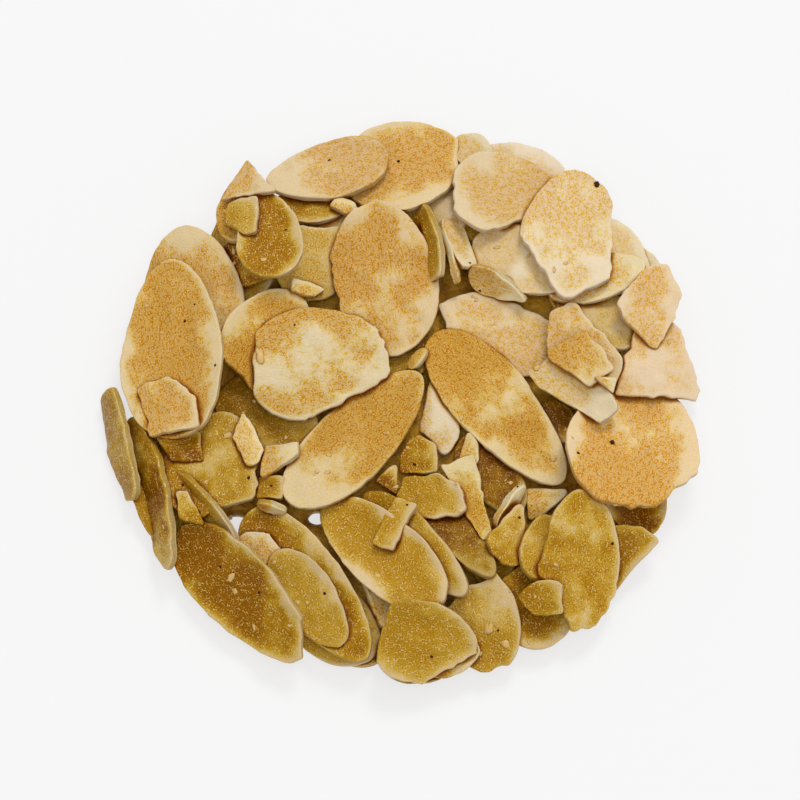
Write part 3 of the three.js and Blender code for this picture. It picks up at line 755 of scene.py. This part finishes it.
# Where the film lies. Tuples are ramps: the start, the end and, if not 0 and 1, what they give there
MARGIN_BY_PATCHES = 1.6  # millimetres that the film comes nearer to the rim
MARGIN_BY_PALE_SIDE = -0.9
FILM_MARGIN = (-0.2, 2)
RIM_BAND = (0.05, 0.6)
RIM_BY_PALE_SIDE = (-0.4, 0.6, 0.85, 0.25)
COVER_START = -0.3
COVER_BY_PATCHES = 0.8
COVER_BY_WAVES = 0.6
# film pools in the hollows, and the paler ridges it leaves also paint a sheen
COVER_BY_HOLLOW_AND_PAINTED_SHEEN = 0.68
COVER_BY_PALE_SIDE = -0.28
COVER_BY_GLOSS = 0.32
COVER_LIMITS = (-0.1, 1.1)

# How thick the layers on a slice are
FILM_BY_TOAST = (0.7, 2.7, 0, 5.4)
FILM_BY_GLOSS = (0.4, 0.7, 0.5, 1)
EVEN_FILM = 0.1  # of the toast, all over the slice
SPECKLES_BY_TOAST = (0, 1, 0.3, 1)
DRYNESS_BY_GLOSS = (0.4, 0.9, 1, 0.5)
MOTTLES_BY_CLUSTERS = (0.42, 0.66, 0, 0.35)
DOTS_IN_CLUSTERS = 0.8
DOTS_BY_STIPPLE = (0.87, 0.98, 0, 2.6)
DOTS_BY_COVER = (0.05, 0.55, 0.1, 1)
TAN_BY_COVER = (0, 0.7, 0.1, 1)
TAN_BY_TOAST = (0, 1, 0.4, 0.7)
TAN_BY_GLOSS = (0.4, 0.8, 1, 0)
# Drops of glaze: a glossy coat, and painted glints where they clear the film
DROPS_AND_PAINTED_GLINTS_BY_PORES = (0.5, 0.58)
DROPS_AND_PAINTED_GLINTS_BY_CLUSTERS = (0.4, 0.58, 0.15, 1)
PAINTED_GLINT_SHARE = 0.85  # of the layers, cleared at a painted glint
PAINTED_GLINT_BY_FILM = 1.4  # weights of the film and the tan in what a painted glint clears
PAINTED_GLINT_BY_TAN = 0.4
# The joints: batter and painted shade, darker where ambient occlusion finds surfaces close
JOINT_WIDTH = 0.85
JOINT_OPENNESS = (0.9, 0.4)
JOINT_SAMPLES = 8

# The shine of a slice
ROUGHNESS = 0.45
ROUGHNESS_BY_GLOSS = -0.2
ROUGHNESS_BY_PORES = 0.15
FLESH_SHINE = 0.14
FLESH_BUMP = 0.045
GLINTS_BY_GLOSS = (0.2, 0.8)
GLAZE_ROUGHNESS = 0.12
GLAZE_BUMP = 0.1


def batter_and_painted_shade_in_joints(paint):
    """How much batter has run together where a surface meets another, with painted shade there, from 0 to
    1: more where ambient occlusion finds other surfaces close.
    """
    openness = paint.node("AmbientOcclusion", "AO", {"Distance": JOINT_WIDTH * MM}, samples=JOINT_SAMPLES)
    return paint.ramp(openness, *JOINT_OPENNESS)


def film_cover(paint, grain):
    """Where the toasted film lies, from 0 to 1: in patches and hollows, and less at the rims and
    on a slice's paler side. The ridges that it leaves paler are also a painted sheen.
    """
    patches = paint.noise(grain, PATCH_SCALE)
    to_rim = paint.attribute("rim")
    pale_side = paint.attribute("pale_side")
    margin = paint.weighted_sum(to_rim, (patches, MARGIN_BY_PATCHES), (pale_side, MARGIN_BY_PALE_SIDE))
    on_rim = paint.ramp(pale_side, *RIM_BY_PALE_SIDE)
    cover = paint.weighted_sum(
        COVER_START,
        (patches, COVER_BY_PATCHES),
        (paint.noise(grain, WAVE_SCALE), COVER_BY_WAVES),
        (paint.attribute("hollow"), COVER_BY_HOLLOW_AND_PAINTED_SHEEN),
        (pale_side, COVER_BY_PALE_SIDE),
        (paint.attribute("gloss"), COVER_BY_GLOSS),
    )
    return paint.product(
        paint.ramp(cover, *COVER_LIMITS),
        paint.ramp(margin, *FILM_MARGIN),
        paint.ramp(to_rim, *RIM_BAND, on_rim, 1),
    )


def toasted_layers(paint, cover, stipple, clusters, glaze_drops_and_painted_glints):
    """The layers over a slice's flesh, each as its thickness and the light that it takes out. Painted
    glints give some light back, and the joint layer is batter with painted shade.
    """
    toast_and_shade = paint.attribute("toast_and_shade")
    gloss = paint.attribute("gloss")
    dryness = paint.ramp(gloss, *DRYNESS_BY_GLOSS)
    speckles = paint.product(paint.ramp(toast_and_shade, *SPECKLES_BY_TOAST, smooth=False), dryness)

    film = paint.product(cover, paint.ramp(toast_and_shade, *FILM_BY_TOAST, smooth=False))
    film = paint.product(film, paint.ramp(gloss, *FILM_BY_GLOSS))
    film = paint.weighted_sum(film, (toast_and_shade, EVEN_FILM))

    dots = paint.ramp(paint.weighted_sum(stipple, (clusters, DOTS_IN_CLUSTERS)), *DOTS_BY_STIPPLE)
    dots = paint.product(dots, paint.ramp(cover, *DOTS_BY_COVER), speckles)

    tan = paint.product(paint.ramp(cover, *TAN_BY_COVER), paint.ramp(toast_and_shade, *TAN_BY_TOAST))
    mottles = paint.product(paint.ramp(clusters, *MOTTLES_BY_CLUSTERS), cover, speckles)
    tan = paint.product(paint.calculate("ADD", tan, mottles), paint.ramp(gloss, *TAN_BY_GLOSS))

    toasting = paint.weighted_sum(dots, (film, PAINTED_GLINT_BY_FILM), (tan, PAINTED_GLINT_BY_TAN))
    painted_glints = paint.product(glaze_drops_and_painted_glints, -PAINTED_GLINT_SHARE, toasting)
    return (
        (tan, TAN_ABSORPTION),
        (film, FILM_ABSORPTION),
        (dots, DOT_ABSORPTION),
        (painted_glints, PAINTED_GLINT_ABSORPTION),
        (batter_and_painted_shade_in_joints(paint), JOINT_BATTER_AND_SHADE_ABSORPTION),
    )


def toasted(paint, flesh, layers):
    """The colour of flesh under layers that each take out their shares of light."""
    left = {}
    for i, channel in enumerate(("Red", "Green", "Blue")):
        depth = paint.weighted_sum(0.0, *((thickness, -absorption[i]) for thickness, absorption in layers))
        share = paint.node("SeparateColor", channel, {"Color": flesh})
        left[channel] = paint.product(paint.calculate("EXPONENT", depth), share)
    return paint.node("CombineColor", "Color", left)


def almond_material():
    """Almond flesh with a toasted film over it, and drops of glaze on the film, which shine in the coat
    and are painted paler in the colour as glints.
    """
    paint = Paint("almond")
    grain = paint.attribute("grain", "Vector")
    gloss = paint.attribute("gloss")
    stipple = paint.noise(grain, STIPPLE_SCALE, detail=2.5)
    pores = paint.noise(grain, PORE_SCALE, detail=1)
    clusters = paint.noise(grain, CLUSTER_SCALE, detail=3)
    # drops of glaze, which are also painted glints in the colour
    glaze_drops_and_painted_glints = paint.ramp(pores, *DROPS_AND_PAINTED_GLINTS_BY_PORES)
    glaze_drops_and_painted_glints = paint.product(glaze_drops_and_painted_glints, paint.ramp(clusters, *DROPS_AND_PAINTED_GLINTS_BY_CLUSTERS))

    layers = toasted_layers(paint, film_cover(paint, grain), stipple, clusters, glaze_drops_and_painted_glints)
    paint.set("Base Color", toasted(paint, paint.attribute("flesh", "Color"), layers))
    rough = paint.weighted_sum(ROUGHNESS, (gloss, ROUGHNESS_BY_GLOSS), (pores, ROUGHNESS_BY_PORES))
    paint.set("Roughness", rough)
    paint.set("Specular IOR Level", FLESH_SHINE)
    paint.set("Specular Tint", WARM_SHINE)
    paint.bump("Normal", paint.weighted_sum(pores, (stipple, 2)), FLESH_BUMP)

    paint.set("Coat Weight", paint.product(glaze_drops_and_painted_glints, paint.ramp(gloss, *GLINTS_BY_GLOSS)))
    paint.set("Coat Roughness", GLAZE_ROUGHNESS)
    paint.bump("Coat Normal", paint.calculate("ADD", stipple, pores), GLAZE_BUMP)
    return paint.material


def opaque(red, green, blue):
    """A colour as a screen shows it, for a shader's socket."""
    return (*srgb(red, green, blue), 1)


def batter_material():
    """Baked batter: brown, glossy and uneven."""
    brown = opaque(136, 88, 6)
    light_brown = opaque(178, 130, 34)
    dark_brown = opaque(112, 68, 2)
    bubble_depth = 0.3
    paint = Paint("batter")
    place = paint.attribute("grain", "Vector")
    patches = paint.noise(place, 0.35, detail=3)
    bubbles = paint.noise(place, 1.6, detail=3)
    colour = paint.mix(paint.ramp(patches, 0.35, 0.65), brown, light_brown)
    paint.set("Base Color", paint.mix(paint.ramp(bubbles, 0.55, 0.75), colour, dark_brown))
    paint.set("Roughness", paint.ramp(bubbles, 0.3, 0.7, 0.28, 0.5))
    paint.set("Specular Tint", WARM_SHINE)
    paint.bump("Normal", bubbles, bubble_depth)
    return paint.material


def crumb_material():
    """Crumbs of almond flesh, each with its own place in the pattern."""
    golden = opaque(200, 152, 66)
    pale = opaque(226, 196, 132)
    grain_depth = 0.08
    paint = Paint("crumb")
    place = paint.attribute("grain", "Vector")
    fine = paint.noise(place, 4)
    paint.set("Base Color", paint.mix(paint.noise(place, 1.2), golden, pale))
    paint.set("Roughness", paint.ramp(fine, 0.3, 0.7, 0.5, 0.75))
    paint.bump("Normal", fine, grain_depth)
    return paint.material


def speck_material():
    """Burnt specks, dark brown to nearly black."""
    nearly_black = opaque(30, 12, 2)
    dark_brown = opaque(84, 38, 8)
    grain_depth = 0.06
    paint = Paint("burnt_speck")
    fine = paint.noise(paint.attribute("grain", "Vector"), 3)
    paint.set("Base Color", paint.mix(fine, nearly_black, dark_brown))
    paint.set("Roughness", paint.ramp(fine, 0.3, 0.7, 0.6, 0.8))
    paint.set("Specular IOR Level", 0.15)
    paint.bump("Normal", fine, grain_depth)
    return paint.material


# The batter
BATTER_RADIUS = 30.2
BATTER_BOTTOM = 0.3
THINNEST_BATTER = 0.2
BATTER_DROP = 0.35  # how far its top lies below that of the bed of slices
BED_PASSES = 4  # of smoothing, for the top of the bed
BATTER_LUMP_LENGTH = 3
BATTER_LUMP_HEIGHT = 0.25
GAP_UNEVENNESS = 0.4
BORDER_PASSES = 8  # of smoothing along the sheet's border
BORDER_SHARE = 0.5  # of its thickness that the sheet keeps at its border


def batter_sheet():
    """The top of a lumpy sheet between the lowest slices, open at the gaps: points and faces."""
    rng = np.random.default_rng([SEED, BATTER_SEED])
    x, y = heap.x, heap.y
    lumps = smooth_noise(x / BATTER_LUMP_LENGTH, y / BATTER_LUMP_LENGTH, rng)
    bed = bed_top
    for _ in range(BED_PASSES):
        bed = smoothed(smoothed(bed, 0), 1)
    top = bed - BATTER_DROP + BATTER_LUMP_HEIGHT * lumps
    solid = np.hypot(x, y) < BATTER_RADIUS + lumps
    for gap_x, gap_y, radius in GAPS:
        solid &= np.hypot(x - gap_x, y - gap_y) > radius + GAP_UNEVENNESS * lumps
    number = np.arange(x.size).reshape(x.shape)
    whole = solid[:-1, :-1] & solid[1:, :-1] & solid[:-1, 1:] & solid[1:, 1:]
    quads = np.stack([number[:-1, :-1], number[:-1, 1:], number[1:, 1:], number[1:, :-1]], axis=2)[whole]
    used, quads = np.unique(quads, return_inverse=True)
    points = np.column_stack([x.ravel()[used], y.ravel()[used], top.ravel()[used]])
    return points, quads.reshape(-1, 4)


def border_edges(quads, count):
    """The edges that only one face of a sheet has."""
    edges = np.concatenate([quads[:, [i, (i + 1) % 4]] for i in range(4)])
    keys = edges[:, 0] * count + edges[:, 1]
    back_keys = edges[:, 1] * count + edges[:, 0]
    return edges[~np.isin(keys, back_keys)]


def soften_border(points, border):
    """Smooths the border of the batter seen from above, and thins the batter there."""
    following = np.arange(len(points))
    following[border[:, 0]] = border[:, 1]
    before = np.arange(len(points))
    before[border[:, 1]] = border[:, 0]
    on_border = np.unique(border)
    for _ in range(BORDER_PASSES):
        smooth = (points[following] + points[before] + 2 * points) / 4
        points[on_border, :2] = smooth[on_border, :2]
    points[on_border, 2] = BATTER_BOTTOM + BORDER_SHARE * (points[on_border, 2] - BATTER_BOTTOM)


def batter_part():
    """The sheet of batter, closed by an even underside."""
    points, quads = batter_sheet()
    count = len(points)
    border = border_edges(quads, count)
    soften_border(points, border)
    points[:, 2] = np.maximum(points[:, 2], BATTER_BOTTOM + THINNEST_BATTER)
    below = points.copy()
    below[:, 2] = BATTER_BOTTOM
    faces = quads.tolist() + (quads[:, ::-1] + count).tolist()
    faces += [[b, a, a + count, b + count] for a, b in border.tolist()]
    both = np.concatenate([points, below])
    return Part(both, faces, {"grain": both})


# Slices pressed flat at the middle of the underside: count and radius of each ring
UNDER_RINGS = ((10, 17.5), (5, 7.5), (1, 0))
UNDER_SPACING = 0.4  # how unevenly they are spaced, in steps of the ring
UNDER_LENGTHS = (13, 18)
UNDER_WIDTHS = (8, 10.5)
UNDER_LOOKS = ("golden", "olive", "yellow")
UNDER_TOASTS = (0.9, 1.8)

FLOOR_STEP = 0.018  # each flat slice on the floor lies this much higher than the one before
LEAST_REACH = 1.5  # of a slice on the floor towards a gap


def under_slices():
    rng = np.random.default_rng([SEED, UNDER_SEED])
    rows = []
    for count, radius in UNDER_RINGS:
        for i in range(count):
            bearing = (i + rng.uniform(0, UNDER_SPACING)) * 360 / count
            size = (rng.uniform(*UNDER_LENGTHS), rng.uniform(*UNDER_WIDTHS))
            centre = tuple(radius * direction(bearing))
            look = UNDER_LOOKS[rng.integers(len(UNDER_LOOKS))]
            heading = rng.uniform(0, 360)
            rows.append(Slice("under", centre, size, heading, look, rng.uniform(*UNDER_TOASTS)))
    return rows


def breaks_at_gaps(row):
    """The broken edges that keep a slice on the floor out of the gaps."""
    breaks = []
    for gap_x, gap_y, radius in GAPS:
        x = gap_x - row.centre[0]
        y = gap_y - row.centre[1]
        reach = math.hypot(x, y) - radius
        if reach < row.size[0] / 2:
            breaks.append((math.degrees(math.atan2(y, x)), max(reach, LEAST_REACH)))
    return tuple(breaks)


def bottom_parts():
    """The slices on the floor, the lower ones over the edges of the others seen from below."""
    flat_rows = [laid.row for laid in rim if laid.row.lies_flat] + under_slices()
    parts = []
    for i, row in enumerate(flat_rows):
        row.breaks = breaks_at_gaps(row)
        laid = Laid(row, plan_outline(row), np.zeros(2), i * FLOOR_STEP)
        parts.append(slice_part(laid, BOTTOM_SEED + i))
    return parts


# Loose bits on the slices: x, y, length, width
CRUMBS = (
    (16.2, 2.1, 1.1, 0.9),
    (17.1, 4.1, 0.8, 0.7),
    (19.1, -7.4, 0.9, 0.8),
    (-20.9, -22.9, 1.2, 0.8),
    (-20.4, -24.5, 0.9, 0.7),
    (-17.5, 5.3, 2.5, 1.0),
    (11, -29.3, 1.4, 1.0),
    (13, -31, 1.2, 0.9),
    (17.8, 12.3, 1.8, 1.2),
    (-21.5, -4.5, 1.2, 0.9),
)
CRUMB_HEIGHT = 0.3  # share of the width

# Grains of almond and batter all over the cookie
FINE_CRUMBS = 120
CRUMB_REACH = 35
FINE_CRUMB_WIDTHS = (0.2, 0.5)
FINE_CRUMB_LENGTHS = (1, 2)  # shares of the width

# Burnt specks: x, y and width
SPECKS = (
    (25, 29, 1.2), (-9, 32.4, 0.5), (-0.2, 32.5, 0.5), (-27, 10.1, 0.45), (-25.8, 12.2, 0.4),
    (-23, 3.4, 0.45), (-13.2, 9.4, 0.4), (22.1, -7.8, 0.45), (26.4, -5.9, 0.9), (1.8, -8.1, 0.5),
    (7.6, -11.5, 0.4), (0.9, -14.1, 0.4), (14.8, -15.4, 0.45), (14.6, -11.4, 0.4), (-9.3, -25.2, 0.5),
    (-22.2, -21.6, 0.45), (-17.4, -25, 0.5), (-18.8, -10.1, 0.6), (-16, -11.1, 0.4), (-27, -11.2, 0.5),
    (-25, -14.7, 0.6), (3.9, -33, 0.5), (12.1, -29.5, 0.4), (8.8, 18, 0.4), (10.1, 14.8, 0.4),
    (-14.4, 21.6, 0.4), (26.3, -18.7, 0.5),
)
SPECK_LENGTH = 0.8  # of the lump, as a share of the width listed
SPECK_WIDTH = 0.65
SPECK_HEIGHT = 0.5  # share of the lump's width

# The mesh of a crumb or speck
LUMP_SIDES = 12
LUMP_RINGS = 7
LUMP_UNEVENNESS = 0.22
MOST_UNEVEN = 1.5  # times the unevenness

ABOVE_HEAP = 50  # the height from which the surface of the heap is looked for


def fine_crumbs():
    rng = np.random.default_rng([SEED, FINE_CRUMB_SEED])
    rows = []
    for _ in range(FINE_CRUMBS):
        x, y = CRUMB_REACH * math.sqrt(rng.uniform()) * direction(rng.uniform(0, 360))
        width = rng.uniform(*FINE_CRUMB_WIDTHS)
        rows.append((x, y, width * rng.uniform(*FINE_CRUMB_LENGTHS), width))
    return rows


def surface_under(parts):
    """A finder of the heap's surface below a point of the table: its place and its normal there."""
    points, faces = joined(parts)
    tree = BVHTree.FromPolygons(points.tolist(), faces)

    def find(x, y):
        place, normal, _, _ = tree.ray_cast(Vector((x, y, ABOVE_HEAP)), Vector((0, 0, -1)))
        return place, normal

    return find


def lump_part(place, normal, length, width, height, rng):
    """An uneven little lump, half sunk into the surface that it sits on."""
    turn = rng.uniform(0, 2 * math.pi)
    ahead = Vector((math.cos(turn), math.sin(turn), 0))
    along = (ahead - normal * ahead.dot(normal)).normalized()
    across = normal.cross(along)
    levels = np.pi * np.arange(1, LUMP_RINGS) / LUMP_RINGS
    rounds = 2 * math.pi * np.arange(LUMP_SIDES) / LUMP_SIDES
    rings = [
        (math.sin(a) * math.cos(b), math.sin(a) * math.sin(b), math.cos(a))
        for a in levels
        for b in rounds
    ]
    ball = np.array([(0, 0, 1), *rings, (0, 0, -1)])
    ball *= 1 + LUMP_UNEVENNESS * rng.normal(size=(len(ball), 1)).clip(-MOST_UNEVEN, MOST_UNEVEN)
    sizes = np.array([length, width, height]) / 2
    axes = np.array([along, across, normal])
    points = np.array(place) + ball * sizes @ axes
    start = rng.uniform(0, GRAIN_REACH, 3)
    return Part(points, ring_faces(LUMP_SIDES, LUMP_RINGS - 1), {"grain": points + start})


def scattered_lumps(rows, height_share, find, seed):
    """Lumps at the places, and of the sizes, that the rows list, on what lies below them."""
    rng = np.random.default_rng([SEED, seed])
    parts = []
    for x, y, length, width in rows:
        place, normal = find(x, y)
        if place:
            parts.append(lump_part(place, normal, length, width, height_share * width, rng))
    return parts


SLICE_KINDS = ("whole_slices", "broken_slices", "small_slices", "standing_slices")


def kind_of(row):
    """The piece that a slice belongs to."""
    if row.leans:
        return "standing_slices"
    if row.size[0] < LONG_SLICE:
        return "small_slices"
    return "broken_slices" if row.breaks else "whole_slices"


def build_cookie():
    almond = almond_material()
    shown_parts = [slice_part(laid, i) for i, laid in enumerate(shown)]
    rim_parts = [slice_part(laid, RIM_SEED + i) for i, laid in enumerate(rim) if not laid.row.lies_flat]
    for kind in SLICE_KINDS:
        parts = [part for laid, part in zip(shown, shown_parts) if kind_of(laid.row) == kind]
        make_piece(kind, parts, almond)
    make_piece("rim_slices", rim_parts, almond)
    make_piece("bottom_slices", bottom_parts(), almond)
    make_piece("batter", [batter_part()], batter_material())
    find = surface_under(shown_parts + rim_parts)
    crumbs = scattered_lumps([*CRUMBS, *fine_crumbs()], CRUMB_HEIGHT, find, CRUMB_SEED)
    make_piece("crumbs", crumbs, crumb_material(), in_place_of_node=False)
    speck_rows = [(x, y, SPECK_LENGTH * width, SPECK_WIDTH * width) for x, y, width in SPECKS]
    specks = scattered_lumps(speck_rows, SPECK_HEIGHT, find, SPECK_SEED)
    make_piece("burnt_specks", specks, speck_material(), in_place_of_node=False)


# The camera
CAMERA_ELEVATION = math.radians(72)
CAMERA_DISTANCE = 600
AIM_HEIGHT = 5
SENSOR_WIDTH = 36
VIEW_WIDTH = 100  # at the cookie

# The studio, in metres and watts
WHITE = (1, 1, 1, 1)
FLOOR_HALF = 0.8
FLOOR_GLOW = 0.67
SKY_GLOW = 0.58
LIGHTS = (
    # name, place, width, power
    ("overhead", (0.1, -0.35, 0.95), 0.9, 2.4),
    ("key", (0.2, 0.62, 0.76), 0.35, 4),
)


def floor_material():
    """A white table, which glows so that it stays white under the soft light."""
    darker_grey = (0.245, 0.245, 0.245, 1)
    lighter_grey = (0.255, 0.255, 0.255, 1)
    paint = Paint("floor")
    grey = paint.noise(paint.node("TexCoord", "Object", {}), 3)
    paint.set("Base Color", paint.mix(grey, darker_grey, lighter_grey))
    paint.set("Emission Color", WHITE)
    paint.set("Emission Strength", FLOOR_GLOW)
    paint.set("Roughness", 0.9)
    paint.set("Specular IOR Level", 0.1)
    return paint.material


def add_floor():
    half = FLOOR_HALF
    mesh = bpy.data.meshes.new("floor")
    corners = [(-half, -half, 0), (half, -half, 0), (half, half, 0), (-half, half, 0)]
    mesh.from_pydata(corners, [], [(0, 1, 2, 3)])
    mesh.materials.append(floor_material())
    floor = bpy.data.objects.new("floor", mesh)
    bpy.context.collection.objects.link(floor)


def add_light(name, place, width, power):
    """A round lamp that shines on the middle of the floor."""
    data = bpy.data.lights.new(name, "AREA")
    data.shape = "DISK"
    data.size = width
    data.energy = power
    light = bpy.data.objects.new(name, data)
    light.location = place
    light.rotation_euler = (-Vector(place)).to_track_quat("-Z", "Y").to_euler()
    bpy.context.collection.objects.link(light)


def add_studio():
    add_floor()
    for name, place, width, power in LIGHTS:
        add_light(name, place, width, power)
    world = bpy.data.worlds.new("studio")
    world.use_nodes = True
    sky = world.node_tree.nodes["Background"]
    sky.inputs["Color"].default_value = WHITE
    sky.inputs["Strength"].default_value = SKY_GLOW
    bpy.context.scene.world = world
    bpy.context.scene.view_settings.view_transform = "Standard"


def add_camera():
    data = bpy.data.cameras.new("camera")
    data.sensor_width = SENSOR_WIDTH
    data.lens = SENSOR_WIDTH * CAMERA_DISTANCE / VIEW_WIDTH
    camera = bpy.data.objects.new("camera", data)
    aim = (TO_FRAME + np.array([0, 0, AIM_HEIGHT])) * MM
    back = np.array([0, -math.cos(CAMERA_ELEVATION), math.sin(CAMERA_ELEVATION)])
    camera.location = aim + CAMERA_DISTANCE * MM * back
    camera.rotation_euler = (math.pi / 2 - CAMERA_ELEVATION, 0, 0)
    bpy.context.collection.objects.link(camera)
    bpy.context.scene.camera = camera


build_cookie()
add_studio()
add_camera()
